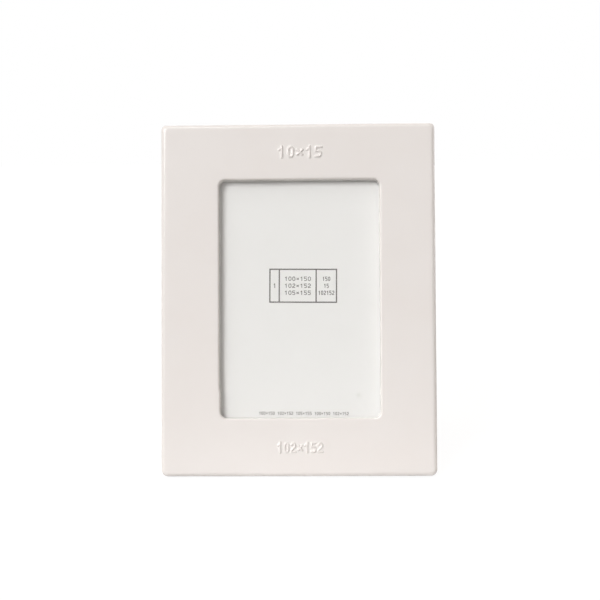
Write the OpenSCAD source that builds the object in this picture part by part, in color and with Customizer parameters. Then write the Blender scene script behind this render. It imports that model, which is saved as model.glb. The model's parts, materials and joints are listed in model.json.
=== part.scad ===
// Table frame for a 102 x 152 mm picture: a cast and glazed ceramic body that leans back on an easel strut.
// Each piece is drawn upright: the front face at y = 0, the back towards +y, the bottom edge at z = 0.
// on_stand() then leans it back and sets the land of its lower back edge on the table, at the origin.

/* [Ceramic body] */
// Width of the ceramic body
frame_w = 172; // [155:0.5:200]
// Height of the ceramic body
frame_h = 220.5; // [205:0.5:250]
// Thickness from the front face to the back face
frame_t = 15; // [14.5:0.5:22]
// Radius of the soft outer edges
edge_r = 3; // [1.5:0.25:4]
// Radius of the corners of the outline
corner_r = 3.6; // [2:0.2:8]
// Depth of the land ground flat on the lower back edge
foot_cut = 0.6; // [0.3:0.1:1]
// Angle by which the frame leans back from upright
lean = 12; // [9:0.5:16]

/* [Picture opening] */
// How far the lip covers the picture at each side
side_cover = 0.9; // [0.5:0.1:2.4]
// How far the lip covers the picture at the top and at the bottom
end_cover = 1.4; // [0.6:0.1:3]
// Radius of the rolled edge of the opening
roll_r = 1.4; // [0.9:0.1:2.2]
// Angle by which the wall of the opening spreads towards the front
draft = 3; // [1:0.5:12]
// Corner radius of the opening at the front face
mouth_corner_r = 5.4; // [4:0.2:9]
// Depth of the opening from the front face to the glass
lip_t = 5.5; // [4.5:0.25:6]
// How far the opening sits to the right of the middle of the casting
opening_right = 0.9; // [-2:0.1:2]
// How far the opening sits above the middle of the casting
opening_up = 0.5; // [-2:0.1:2]

/* [Glass, picture and board] */
// Width of the picture that the frame takes
picture_w = 102; // [100:0.5:105]
// Height of the picture that the frame takes
picture_h = 152; // [150:0.5:156]
// Thickness of the glass
glass_t = 1.5; // [1:0.25:3]
// Thickness of the printed card
card_t = 0.4; // [0.2:0.1:0.8]
// Thickness of the backing board
board_t = 3.5; // [2.5:0.25:4]
// Gap between the pieces and the side of their seat
seat_gap = 0.8; // [0.5:0.1:1.5]
// Air between the glass and the card
card_gap = 0.15; // [0.05:0.05:0.3]
// Corner radius of the seat
seat_corner_r = 2; // [1:0.1:2.2]
// Corner radius of the board
board_corner_r = 1.5; // [0.5:0.1:3]
// Radius of the thumb notch in the side of the board
thumb_notch_r = 7; // [4:0.5:10]
// Distance of the thumb notch below the middle of the board
thumb_notch_drop = 38; // [30:1:50]

/* [Back pocket and turn buttons] */
// Width of the ledge round the seat that carries the turn buttons
ledge_w = 11; // [10:0.25:12]
// Corner radius of the pocket round the ledge
pocket_corner_r = 8; // [4:0.5:12]
// How far the board stands proud of the ledge
board_proud = 0.4; // [0.2:0.05:0.5]
// Distance from the side of the seat to the pivot of a turn button
button_inset = 5.5; // [5:0.1:5.8]
// Half the width of a turn button, and the radius of its ends
button_r = 4; // [3:0.1:4.4]
// Distance from the pivot of a turn button to the centre of its tip
button_reach = 15; // [11:0.5:18]
// Thickness of a turn button
button_t = 1; // [0.8:0.1:1.2]
// Clearance above and below a turn button
button_gap = 0.1; // [0.05:0.05:0.2]
// Radius of a washer
washer_r = 3.8; // [3.2:0.1:4.2]
// Thickness of a washer
washer_t = 0.5; // [0.4:0.1:0.6]
// Radius of a screw shank
screw_r = 1.5; // [1.2:0.1:1.7]
// Length of a screw under its head
screw_l = 6.4; // [5:0.2:7]
// Radius of a screw head
screw_head_r = 2.8; // [2.4:0.1:3.2]
// Height of a screw head
screw_head_h = 1.6; // [1.2:0.1:1.8]
// Radial clearance round a screw shank
screw_clearance = 0.08; // [0.03:0.01:0.1]
// Radius of an anchor plug
plug_r = 3; // [2.6:0.1:3.4]
// Length of an anchor plug
plug_l = 6.5; // [5.5:0.25:7]
// Thickness of the glue round and under an anchor plug
glue_t = 0.1; // [0.05:0.05:0.2]

/* [Easel strut and hinge] */
// Angle between the board and the opened strut
strut_open = 24; // [20:0.5:30]
// Height of the hinge pin above the middle of the board
hinge_up = 31; // [24:0.5:36]
// Width of the strut at the hinge
strut_top_w = 30; // [28:1:36]
// Width of the strut at its foot
strut_foot_w = 50; // [40:1:60]
// Thickness of the strut
strut_t = 3; // [2.5:0.25:3]
// Thickness of the sheet steel of the hinge
leaf_t = 0.8; // [0.6:0.1:1]
// Width of the board leaf, and length of the knuckles together
leaf_w = 28; // [26:0.5:30]
// Width of the strut leaf
strut_leaf_w = 22; // [20:0.5:26]
// Height of each leaf from the pin
leaf_h = 16; // [14:0.5:18]
// Outer radius of the knuckles
knuckle_r = 2; // [1.8:0.1:2.2]
// Length of each outer knuckle
outer_knuckle_l = 8; // [6.5:0.25:8]
// End gap between two knuckles
knuckle_gap = 0.3; // [0.2:0.05:0.5]
// Gap between the knuckles and the board
barrel_gap = 0.25; // [0.2:0.05:0.4]
// Radius of the hinge pin
pin_r = 1; // [0.8:0.05:1.1]
// Radial clearance round the hinge pin
pin_clearance = 0.05; // [0.03:0.01:0.1]
// Height of the stop tab above the pin
stop_h = 7; // [6:0.5:8]
// Width of the stop tab
stop_w = 9; // [7:0.5:9]
// Gap between the stop tab and the board leaf
stop_gap = 0.1; // [0.05:0.05:0.15]
// Distance between the two rivets of a leaf
rivet_pitch = 16; // [15:0.5:16]
// Distance of the rivets from the pin
rivet_out = 10; // [9:0.5:11]
// Radius of a rivet shank
rivet_r = 1.4; // [1.2:0.1:1.5]
// Radius of a rivet head
rivet_head_r = 2.4; // [2:0.1:2.5]
// Height of a rivet head
rivet_head_h = 0.9; // [0.6:0.1:1.2]

/* [Raised marks] */
// Height by which the marks stand out of the rails
mark_h = 0.9; // [0.4:0.1:1.2]
// Width of a stroke of the upper mark
top_stroke = 1.35; // [0.8:0.05:1.6]
// Width of a figure of the upper mark, between its stroke centres
top_figure_w = 3; // [2:0.1:3.6]
// Height of a figure of the upper mark, between its stroke centres
top_figure_h = 6; // [4:0.1:7]
// Distance from one figure of the upper mark to the next
top_pitch = 5.8; // [5:0.1:6.5]
// How far the upper mark stands to the right of the middle
top_right = 1.5; // [-3:0.1:3]
// How far the upper mark sits nearer to the opening than the middle of its rail
top_drop = 0.9; // [-2:0.1:3]
// Width of a stroke of the lower mark
low_stroke = 1.1; // [0.7:0.05:1.3]
// Width of a figure of the lower mark, between its stroke centres
low_figure_w = 2.2; // [1.6:0.1:2.6]
// Height of a figure of the lower mark, between its stroke centres
low_figure_h = 5.4; // [4:0.1:7]
// Distance from one figure of the lower mark to the next
low_pitch = 4.2; // [3.8:0.1:4.6]
// How far the lower mark stands to the right of the middle
low_right = 0.8; // [-3:0.1:3]
// How far the lower mark sits nearer to the opening than the middle of its rail
low_lift = 0.6; // [-2:0.1:3]

/* [Hidden] */

$fn = 48;
overrun = 1;
slice_t = roll_r / 50;
corner_steps = 8;
roll_steps = 4;

// Levels from the front face to the back face
glass_y = lip_t;
card_y = glass_y + glass_t + card_gap;
board_y = card_y + card_t;
board_back_y = board_y + board_t;
ledge_y = board_back_y - board_proud;
washer_y = ledge_y + washer_t;
button_y = washer_y + button_gap;
head_y = button_y + button_t + button_gap;

// How far the opening narrows from the front face to the glass: round the rolled edge, then down the wall
roll_turn = 90 - draft;
throat_inset = roll_r * sin(roll_turn) + (lip_t - roll_r * (1 - cos(roll_turn))) * tan(draft);

// Widths and heights from the opening outwards
throat_w = picture_w - 2 * side_cover;
throat_h = picture_h - 2 * end_cover;
mouth_w = throat_w + 2 * throat_inset;
mouth_h = throat_h + 2 * throat_inset;
seat_w = picture_w + 2 * seat_gap;
seat_h = picture_h + 2 * seat_gap;
pocket_w = seat_w + 2 * ledge_w;
pocket_h = seat_h + 2 * ledge_w;
middle_z = frame_h / 2 + opening_up;
screw_hole_r = screw_r + screw_clearance;

// Place of the land on which the leaning casting stands
foot_y = (frame_t - edge_r) * cos(lean) + edge_r * sin(lean);
foot_z = edge_r * cos(lean) - (frame_t - edge_r) * sin(lean) - edge_r + foot_cut;

// Hinge and strut, with the strut drawn parallel to the board below the pin
pin_y = board_back_y + knuckle_r + barrel_gap;
pin_z = middle_z + hinge_up;
pin_bore_r = pin_r + pin_clearance;
middle_knuckle_l = leaf_w - 2 * outer_knuckle_l - 2 * knuckle_gap;
strut_back_y = knuckle_r - leaf_t;
strut_drop = knuckle_r + barrel_gap;
strut_angle = strut_open - lean;
pin_height = pin_z * cos(lean) - pin_y * sin(lean) - foot_z;
strut_l = (pin_height + knuckle_r) / cos(strut_angle) + strut_t * tan(strut_angle);
rivet_tail_r = rivet_head_r - leaf_t / 2;
rivet_tail_h = leaf_t;
rivet_hole_r = rivet_r + pin_clearance;

// Middle lines of the strokes of the figures, as shares of a figure's width and height
zero_shares = [[
    [0.3, 0], [0.7, 0], [1, 0.22], [1, 0.78], [0.7, 1], [0.3, 1], [0, 0.78], [0, 0.22], [0.3, 0]
]];
one_shares = [[[0.05, 0.72], [0.6, 0.94]], [[0.6, -0.08], [0.6, 1.08]]];
two_shares = [[[0, 0.8], [0.28, 1], [0.72, 1], [1, 0.8], [1, 0.6], [0, 0.18], [0, 0], [1.1, 0]]];
times_shares = [[[0, 0.2], [1, 0.72]], [[0, 0.72], [1, 0.2]]];
five_shares = [[[1.1, 1], [0, 1], [0, 0.56], [0.7, 0.56], [1, 0.4], [1, 0.18], [0.72, 0], [-0.1, 0]]];
top_figures = [one_shares, zero_shares, times_shares, one_shares, five_shares];
low_figures = [one_shares, zero_shares, two_shares, times_shares, one_shares, five_shares, two_shares];

// Points of an arc about a centre
function arc_points(centre, r, from, to, steps) = [
    for (i = [0 : steps])
        let (a = from + (to - from) * i / steps)
        centre + r * [cos(a), sin(a)]
];

// Outline of a rectangle with round corners, centred on the origin
function round_outline(w, h, r) = [
    for (c = [[1, 1, 0], [-1, 1, 90], [-1, -1, 180], [1, -1, 270]])
        each arc_points([c[0] * (w / 2 - r), c[1] * (h / 2 - r)], r, c[2], c[2] + 90, corner_steps)
];

// Leans a piece back and sets the foot land of the casting on the table
module on_stand() {
    translate([0, -foot_y, -foot_z])
        rotate([-lean, 0, 0])
            children();
}

// Everything below the table
module below_table() {
    translate([-frame_w, -frame_h, -frame_h])
        cube([2 * frame_w, 2 * frame_h, frame_h]);
}

// Draws in the plane of the board, from the middle of the opening, extruded from y towards the back
module in_opening(y, t) {
    translate([opening_right, y + t, middle_z])
        rotate([90, 0, 0])
            linear_extrude(t)
                children();
}

// A round bar along y, from y towards the back
module bar(r, y, l) {
    translate([0, y, 0])
        rotate([-90, 0, 0])
            cylinder(r = r, h = l);
}

// A low dome along y, with its flat side at y and its crown towards the back
module dome(r, h, y) {
    crown_r = (r * r + h * h) / (2 * h);
    crown = arc_points([0, h - crown_r], crown_r, 90 - asin(r / crown_r), 90, corner_steps);
    translate([0, y, 0])
        rotate([-90, 0, 0])
            rotate_extrude()
                polygon(concat([[0, 0]], crown));
}

// Solid block of the casting: its front, side and top outlines meet in soft edges all round
module casting_block() {
    intersection() {
        translate([0, frame_t, frame_h / 2])
            rotate([90, 0, 0])
                linear_extrude(frame_t)
                    polygon(round_outline(frame_w, frame_h, corner_r));
        translate([-frame_w / 2, frame_t / 2, frame_h / 2])
            rotate([90, 0, 90])
                linear_extrude(frame_w)
                    polygon(round_outline(frame_t, frame_h, edge_r));
        translate([0, frame_t / 2, 0])
            linear_extrude(frame_h)
                polygon(round_outline(frame_w, frame_t, edge_r));
    }
}

// A thin slice of the opening that ends at a depth, so far inside the mouth
module mouth_slice(inset, depth) {
    in_opening(depth - slice_t, slice_t)
        polygon(round_outline(mouth_w - 2 * inset, mouth_h - 2 * inset, mouth_corner_r - inset));
}

// A slice at an angle round the rolled edge, from 0 on the front face
module roll_slice(angle) {
    mouth_slice(roll_r * sin(angle), roll_r * (1 - cos(angle)));
}

// The front opening: its rolled edge, and the wall that narrows from there to the glass
module picture_mouth() {
    for (i = [0 : roll_steps - 1])
        hull() {
            roll_slice(roll_turn * i / roll_steps);
            roll_slice(roll_turn * (i + 1) / roll_steps);
        }
    hull() {
        roll_slice(roll_turn);
        mouth_slice(throat_inset, lip_t + slice_t);
    }
}

// The seat of the glass, picture and board
module glass_seat() {
    in_opening(glass_y, frame_t)
        polygon(round_outline(seat_w, seat_h, seat_corner_r));
}

// The shallow pocket that keeps the fastenings below the back face
module back_pocket() {
    in_opening(ledge_y, frame_t)
        polygon(round_outline(pocket_w, pocket_h, pocket_corner_r));
}

// Places its children at the turn button on one side: 0 top, 1 right, 2 bottom, 3 left, pointing inwards
module at_button(side) {
    out = (side % 2 == 0 ? seat_h : seat_w) / 2 + button_inset;
    translate([opening_right, 0, middle_z])
        rotate([0, 90 * side, 0])
            translate([0, 0, out])
                children();
}

module at_buttons() {
    for (side = [0 : 3])
        at_button(side)
            children();
}

// Raised figures in a row, centred on a place of the front face
module raised_mark(figures, right, z, w, h, stroke, pitch) {
    translate([right, overrun, z - h / 2])
        rotate([90, 0, 0])
            linear_extrude(overrun + mark_h)
                for (i = [0 : len(figures) - 1], line = figures[i])
                    translate([(i - (len(figures) - 1) / 2) * pitch - w / 2, 0])
                        stroke_line([for (p = line) [p[0] * w, p[1] * h]], stroke);
}

// Points beside a line, at a distance to its left, mitred at its corners
function beside(line, d) =
    let (last = len(line) - 1, closed = line[0] == line[last])
    [
        for (i = [0 : closed ? last - 1 : last])
            let (
                before = i > 0 ? line[i] - line[i - 1]
                    : closed ? line[0] - line[last - 1] : line[1] - line[0],
                after = i < last ? line[i + 1] - line[i] : before,
                u = before / norm(before),
                v = after / norm(after)
            )
            line[i] + d * [-u[1] - v[1], u[0] + v[0]] / (1 + u * v)
    ];

// One stroke of a figure along its middle line, which may close on itself
module stroke_line(line, stroke) {
    left = beside(line, stroke / 2);
    right = beside(line, -stroke / 2);
    if (len(left) < len(line))
        difference() {
            polygon(right);
            polygon(left);
        }
    else
        polygon(concat(left, [for (i = [len(right) - 1 : -1 : 0]) right[i]]));
}

module ceramic_frame() {
    top_mark_z = frame_h - (frame_h / 2 - opening_up - mouth_h / 2) / 2 - top_drop;
    low_mark_z = (frame_h / 2 + opening_up - mouth_h / 2) / 2 + low_lift;
    color("#e6e1dd")
        difference() {
            on_stand() {
                difference() {
                    casting_block();
                    picture_mouth();
                    glass_seat();
                    back_pocket();
                    at_buttons()
                        bar(plug_r + glue_t, ledge_y - plug_l - glue_t, frame_t);
                }
                raised_mark(
                    top_figures, top_right, top_mark_z, top_figure_w, top_figure_h, top_stroke, top_pitch
                );
                raised_mark(
                    low_figures, low_right, low_mark_z, low_figure_w, low_figure_h, low_stroke, low_pitch
                );
            }
            below_table();
        }
}

module glass_pane() {
    color("#dfe9e6", 0.35)
        on_stand()
            in_opening(glass_y, glass_t)
                square([picture_w, picture_h], center = true);
}

module insert_card() {
    color("#eae9e5")
        on_stand()
            in_opening(card_y, card_t)
                square([picture_w, picture_h], center = true);
}

// Moves its children to each rivet of a leaf, up or down from the pin
module at_rivets(up) {
    for (x = [-1, 1] * rivet_pitch / 2)
        translate([x, 0, up * rivet_out])
            children();
}

// Moves its children to the middle of the hinge pin
module at_pin() {
    translate([opening_right, pin_y, pin_z])
        children();
}

module backing_board() {
    color("#8a6242")
        on_stand()
            difference() {
                in_opening(board_y, board_t)
                    difference() {
                        polygon(round_outline(picture_w, picture_h, board_corner_r));
                        translate([picture_w / 2, -thumb_notch_drop])
                            circle(r = thumb_notch_r);
                    }
                at_pin()
                    at_rivets(1) {
                        bar(rivet_hole_r, -pin_y, pin_y);
                        bar(rivet_tail_r + pin_clearance, -pin_y, board_y + rivet_tail_h + pin_clearance);
                    }
            }
}

// A rivet along y through its grip: the tail sits in the first face, the head on the last
module rivet(y, grip) {
    bar(rivet_tail_r, y + pin_clearance, rivet_tail_h);
    bar(rivet_r, y + pin_clearance, grip);
    dome(rivet_head_r, rivet_head_h, y + grip);
}

module hinge_board_rivets() {
    color("#b9b9b6")
        on_stand()
            at_pin()
                at_rivets(1)
                    rivet(board_y - pin_y, board_t + leaf_t);
}

// A knuckle of the hinge, centred on x
module knuckle(x, l) {
    translate([x - l / 2, 0, 0])
        rotate([0, 90, 0])
            cylinder(r = knuckle_r, h = l);
}

module hinge_bore() {
    translate([-leaf_w, 0, 0])
        rotate([0, 90, 0])
            cylinder(r = pin_bore_r, h = 2 * leaf_w);
}

module hinge_board_leaf() {
    leaf_front = board_back_y - pin_y;
    color("#b4b6b8")
        on_stand()
            at_pin()
                difference() {
                    union() {
                        for (side = [-1, 1]) {
                            x = side * (leaf_w - outer_knuckle_l) / 2;
                            knuckle(x, outer_knuckle_l);
                            translate([x - outer_knuckle_l / 2, leaf_front, 0])
                                cube([outer_knuckle_l, leaf_t, leaf_h]);
                        }
                        translate([-leaf_w / 2, leaf_front, strut_drop])
                            cube([leaf_w, leaf_t, leaf_h - strut_drop]);
                    }
                    hinge_bore();
                    at_rivets(1)
                        bar(rivet_hole_r, -pin_y, 2 * pin_y);
                }
}

module hinge_pin() {
    color("#c6c8ca")
        on_stand()
            at_pin()
                rotate([0, 0, 90])
                    translate([0, -leaf_w / 2, 0]) {
                        bar(pin_r, -pin_clearance, leaf_w + 2 * pin_clearance);
                        dome(knuckle_r - leaf_t / 2, leaf_t, leaf_w + pin_clearance);
                        mirror([0, 1, 0])
                            dome(knuckle_r - leaf_t / 2, leaf_t, pin_clearance);
                    }
}

// Swings a piece that is drawn parallel to the board out to the opened strut
module on_strut() {
    on_stand()
        at_pin()
            rotate([strut_open, 0, 0])
                children();
}

module hinge_strut_leaf() {
    color("#b4b6b8")
        difference() {
            union() {
                on_strut() {
                    knuckle(0, middle_knuckle_l);
                    translate([-middle_knuckle_l / 2, strut_back_y, -leaf_h])
                        cube([middle_knuckle_l, leaf_t, leaf_h]);
                    translate([-strut_leaf_w / 2, strut_back_y, -leaf_h])
                        cube([strut_leaf_w, leaf_t, leaf_h - strut_drop]);
                }
                on_stand()
                    at_pin()
                        translate([-stop_w / 2, board_back_y + leaf_t + stop_gap - pin_y, 0])
                            cube([stop_w, leaf_t, stop_h]);
            }
            on_strut() {
                hinge_bore();
                at_rivets(-1)
                    bar(rivet_hole_r, -pin_y, 2 * pin_y);
            }
        }
}

module hinge_strut_rivets() {
    color("#b9b9b6")
        on_strut()
            at_rivets(-1)
                rivet(strut_back_y - strut_t, strut_t + leaf_t);
}

module easel_strut() {
    half_top = strut_top_w / 2;
    half_foot = strut_foot_w / 2;
    color("#8a6242")
        difference() {
            on_strut()
                difference() {
                    translate([0, strut_back_y, 0])
                        rotate([90, 0, 0])
                            linear_extrude(strut_t)
                                polygon([
                                    [-half_top, -strut_drop], [half_top, -strut_drop], [half_top, -leaf_h],
                                    [half_foot, -strut_l], [-half_foot, -strut_l], [-half_top, -leaf_h]
                                ]);
                    at_rivets(-1) {
                        bar(rivet_hole_r, -pin_y, 2 * pin_y);
                        translate([0, strut_back_y - strut_t, 0])
                            bar(rivet_tail_r + pin_clearance, -pin_y, pin_y + rivet_tail_h + pin_clearance);
                    }
                }
            below_table();
        }
}

// A flat turn button with round ends, its pivot at the origin and its tip pointing down
module turn_button(side) {
    outline = concat(
        arc_points([0, 0], button_r, 0, 180, 2 * corner_steps),
        arc_points([0, -button_reach], button_r, 180, 360, 2 * corner_steps)
    );
    color("#c9b06a")
        on_stand()
            at_button(side)
                difference() {
                    translate([0, button_y + button_t, 0])
                        rotate([90, 0, 0])
                            linear_extrude(button_t)
                                polygon(outline);
                    bar(screw_hole_r, 0, frame_t);
                }
}

module turn_button_top() {
    turn_button(0);
}

module turn_button_right() {
    turn_button(1);
}

module turn_button_bottom() {
    turn_button(2);
}

module turn_button_left() {
    turn_button(3);
}

module turn_button_screws() {
    slot_w = screw_r / 2;
    slot_l = 2 * screw_r;
    slot_d = screw_head_h / 2;
    color("#c4c6c8")
        on_stand()
            at_buttons()
                difference() {
                    union() {
                        bar(screw_r, head_y - screw_l + screw_r, screw_l - screw_r);
                        translate([0, head_y - screw_l, 0])
                            rotate([-90, 0, 0])
                                cylinder(r1 = screw_r / 4, r2 = screw_r, h = screw_r);
                        dome(screw_head_r, screw_head_h, head_y);
                    }
                    for (turn = [0, 90])
                        rotate([0, turn, 0])
                            translate([-slot_l / 2, head_y + screw_head_h - slot_d, -slot_w / 2])
                                cube([slot_l, screw_head_h, slot_w]);
                }
}

module turn_button_washers() {
    color("#d8d6cf")
        on_stand()
            at_buttons()
                difference() {
                    bar(washer_r, ledge_y, washer_t);
                    bar(screw_hole_r, 0, frame_t);
                }
}

module anchor_plugs() {
    bore_l = screw_l - (head_y - ledge_y) + glue_t;
    color("#eceae2")
        on_stand()
            at_buttons()
                difference() {
                    bar(plug_r, ledge_y - plug_l, plug_l);
                    bar(screw_hole_r, ledge_y - bore_l, frame_t);
                }
}

ceramic_frame();
glass_pane();
insert_card();
backing_board();
hinge_board_leaf();
hinge_board_rivets();
hinge_pin();
hinge_strut_leaf();
hinge_strut_rivets();
easel_strut();
turn_button_top();
turn_button_right();
turn_button_bottom();
turn_button_left();
turn_button_screws();
turn_button_washers();
anchor_plugs();
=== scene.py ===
# %% [markdown]
# A cast and glazed ceramic picture frame that leans back on an easel strut. The engineering model comes
# first: it holds every piece at its real size and place, and nothing here moves or resizes it. What
# follows gives the pieces that show a finer mesh, and every surface a finish that is built from nodes.

# %% Load the model
import json
import math

import bmesh
import bpy
from mathutils import Matrix, Vector, noise


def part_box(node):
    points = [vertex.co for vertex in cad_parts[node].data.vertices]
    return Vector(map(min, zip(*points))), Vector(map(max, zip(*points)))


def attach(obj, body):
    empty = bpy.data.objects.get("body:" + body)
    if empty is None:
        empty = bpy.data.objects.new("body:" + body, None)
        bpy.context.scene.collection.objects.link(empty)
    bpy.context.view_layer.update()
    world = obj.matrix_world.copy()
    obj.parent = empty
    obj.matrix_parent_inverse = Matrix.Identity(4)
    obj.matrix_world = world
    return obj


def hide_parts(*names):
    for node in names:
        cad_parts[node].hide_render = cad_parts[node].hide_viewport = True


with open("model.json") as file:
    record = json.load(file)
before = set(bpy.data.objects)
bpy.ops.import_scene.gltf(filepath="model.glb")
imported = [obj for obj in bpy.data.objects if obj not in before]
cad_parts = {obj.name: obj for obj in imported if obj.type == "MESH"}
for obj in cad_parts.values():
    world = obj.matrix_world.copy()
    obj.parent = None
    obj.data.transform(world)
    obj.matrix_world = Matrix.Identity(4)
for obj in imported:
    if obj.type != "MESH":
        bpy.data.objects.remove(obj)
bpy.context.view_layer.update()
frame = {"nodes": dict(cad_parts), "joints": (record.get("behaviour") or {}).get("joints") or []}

# %% [markdown]
# The frame leans back, so nothing on it is square to the world axes. Each turn button swivels on an axis
# that runs straight out of the back, and that gives the lean. Measuring everything from the middle of
# the opening, level with the front face, keeps the sizes below as plain as on a workshop drawing.

# %% Levels behind the front face, in millimetres
MM = 0.001
LIP_DEPTH = 5.5
GLASS_T = 1.5
CARD_GAP = 0.15
CARD_T = 0.4
BOARD_T = 3.5
BOARD_PROUD = 0.4
WASHER_T = 0.5
BUTTON_T = 1
SLIDING_GAP = 0.1
CARD_DEPTH = LIP_DEPTH + GLASS_T + CARD_GAP
BOARD_DEPTH = CARD_DEPTH + CARD_T
LEDGE_DEPTH = BOARD_DEPTH + BOARD_T - BOARD_PROUD
BUTTON_DEPTH = LEDGE_DEPTH + WASHER_T + SLIDING_GAP
SCREW_DEPTH = BUTTON_DEPTH + BUTTON_T + SLIDING_GAP

# %% Directions of the leaning frame, and a way to place a point on it
joints = {joint["name"]: joint for joint in frame["joints"]}
RIGHT = Vector((1, 0, 0))
BACK = Vector(joints["button_top_turn"]["axis"]).normalized()
UP = RIGHT.cross(BACK)
glass_low, glass_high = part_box("glass_pane")
MIDDLE = (glass_low + glass_high) / 2 - BACK * (LIP_DEPTH + GLASS_T / 2) * MM


def place(right, up, depth=0):
    """A point in the world, from millimetres right of, above and behind the middle of the opening."""
    return MIDDLE + (RIGHT * right + UP * up + BACK * depth) * MM


def on_frame(point):
    """The other way round: how far right, up and back a point of the world is, in millimetres."""
    offset = (point - MIDDLE) / MM
    return offset.dot(RIGHT), offset.dot(UP), offset.dot(BACK)


print("lean", round(math.degrees(math.atan2(-BACK.z, BACK.y)), 2), "degrees")

# %% [markdown]
# Every finish is built from nodes. A few helpers keep that readable: one adds a node, sets it and wires
# it in a single call, another opens a node group, and the rest mix, rescale and press in patterns. A
# group is an effect that several finishes share, such as a blotchy tone. It is built once, and each
# material sets its own values on it.

# %% Helpers: add a node, open a group, mix and rescale, start a material
def add(tree, kind, inputs=None, **settings):
    """A new node. Settings go on the node itself. Inputs are plain values, or sockets to be linked."""
    node = tree.nodes.new(kind)
    for name, value in settings.items():
        setattr(node, name, value)
    for name, value in (inputs or {}).items():
        if isinstance(value, bpy.types.NodeSocket):
            tree.links.new(value, node.inputs[name])
        else:
            node.inputs[name].default_value = value
    return node


def new_group(name, inputs, outputs):
    """A shader node group: its tree, the sockets that come in, and the node that they leave by."""
    tree = bpy.data.node_groups.new(name, "ShaderNodeTree")
    for label, (kind, value) in inputs.items():
        socket = tree.interface.new_socket(label, in_out="INPUT", socket_type=kind)
        if value is not None:
            socket.default_value = value
    for label, kind in outputs.items():
        tree.interface.new_socket(label, in_out="OUTPUT", socket_type=kind)
    return tree, tree.nodes.new("NodeGroupInput").outputs, tree.nodes.new("NodeGroupOutput").inputs


def maths(tree, operation, first, second=0.0, clamp=False):
    """The result of a Math node."""
    node = add(tree, "ShaderNodeMath", {0: first, 1: second}, operation=operation, use_clamp=clamp)
    return node.outputs[0]


def blend_colours(tree, share, first, second):
    """The result of a Mix node on two colours."""
    sockets = {"Factor": share, "A": first, "B": second}
    node = tree.nodes.new("ShaderNodeMix")
    node.data_type = "RGBA"
    for name, value in sockets.items():
        socket = next(s for s in node.inputs if s.name == name and s.enabled)
        if isinstance(value, bpy.types.NodeSocket):
            tree.links.new(value, socket)
        else:
            socket.default_value = value
    return next(s for s in node.outputs if s.enabled)


def blend_shaders(tree, share, first, second):
    """The result of a Mix Shader node on two shaders."""
    node = tree.nodes.new("ShaderNodeMixShader")
    for socket, given in zip(node.inputs, (share, first, second)):
        tree.links.new(given, socket)
    return node.outputs[0]


def ranged(tree, value, from_low, from_high, to_low, to_high):
    """A value carried from one range to another, and held inside it."""
    inputs = {"Value": value, "From Min": from_low, "From Max": from_high}
    inputs.update({"To Min": to_low, "To Max": to_high})
    return add(tree, "ShaderNodeMapRange", inputs).outputs["Result"]


def new_material(name, **fixed):
    """A material with one Principled shader, its plain numbers set, and the object's own coordinates."""
    material = bpy.data.materials.new(name)
    material.use_nodes = True
    tree = material.node_tree
    shader = tree.nodes["Principled BSDF"]
    for label, value in fixed.items():
        shader.inputs[label.replace("_", " ")].default_value = value
    coords = add(tree, "ShaderNodeTexCoord").outputs["Object"]
    return material, tree, shader, coords


def bump(tree, shader, height, depth):
    """Presses a height pattern into the surface, as deep as depth in millimetres."""
    node = add(tree, "ShaderNodeBump", {"Height": height, "Strength": 1.0, "Distance": depth * MM})
    tree.links.new(node.outputs["Normal"], shader.inputs["Normal"])


# %% Effects that several finishes share
def make_mottle():
    """Two tones that drift into each other, as in fired glaze, paper pulp or pressed board."""
    tree, given, out = new_group("mottle", {
        "Vector": ("NodeSocketVector", None), "Tone": ("NodeSocketColor", None),
        "Other Tone": ("NodeSocketColor", None), "Scale": ("NodeSocketFloat", 40.0),
        "Amount": ("NodeSocketFloat", 0.5)}, {"Color": "NodeSocketColor", "Mask": "NodeSocketFloat"})
    pattern = add(tree, "ShaderNodeTexNoise", {
        "Vector": given["Vector"], "Scale": given["Scale"], "Detail": 4.0, "Roughness": 0.55})
    spread = ranged(tree, pattern.outputs["Fac"], 0.34, 0.66, 0.0, 1.0)
    mask = maths(tree, "MULTIPLY", spread, given["Amount"])
    tree.links.new(blend_colours(tree, mask, given["Tone"], given["Other Tone"]), out["Color"])
    tree.links.new(mask, out["Mask"])
    return tree


def make_specks():
    """Small round spots, a few of the cells of a pattern holding one, as pinholes or flecks of fibre."""
    tree, given, out = new_group("specks", {
        "Vector": ("NodeSocketVector", None), "Scale": ("NodeSocketFloat", 200.0),
        "Size": ("NodeSocketFloat", 0.1), "Share": ("NodeSocketFloat", 0.1)}, {"Mask": "NodeSocketFloat"})
    cells = add(tree, "ShaderNodeTexVoronoi", {"Vector": given["Vector"], "Scale": given["Scale"]})
    off = maths(tree, "DIVIDE", cells.outputs["Distance"], given["Size"])
    spot = maths(tree, "SUBTRACT", 1.0, off, True)
    pick = add(tree, "ShaderNodeSeparateColor", {"Color": cells.outputs["Color"]}).outputs["Red"]
    chosen = maths(tree, "LESS_THAN", pick, given["Share"])
    tree.links.new(maths(tree, "MULTIPLY", spot, chosen), out["Mask"])
    return tree


def make_streaks():
    """Fine lines that run one way, as on rolled sheet metal or across brushed fibres."""
    tree, given, out = new_group("streaks", {
        "Vector": ("NodeSocketVector", None), "Stretch": ("NodeSocketVector", (1.0, 1.0, 1.0)),
        "Scale": ("NodeSocketFloat", 300.0)}, {"Value": "NodeSocketFloat"})
    stretched = add(tree, "ShaderNodeVectorMath", {0: given["Vector"], 1: given["Stretch"]},
                    operation="MULTIPLY")
    pattern = add(tree, "ShaderNodeTexNoise", {
        "Vector": stretched.outputs[0], "Scale": given["Scale"], "Detail": 5.0, "Roughness": 0.65})
    tree.links.new(pattern.outputs["Fac"], out["Value"])
    return tree


MOTTLE = make_mottle()
SPECKS = make_specks()
STREAKS = make_streaks()


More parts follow.
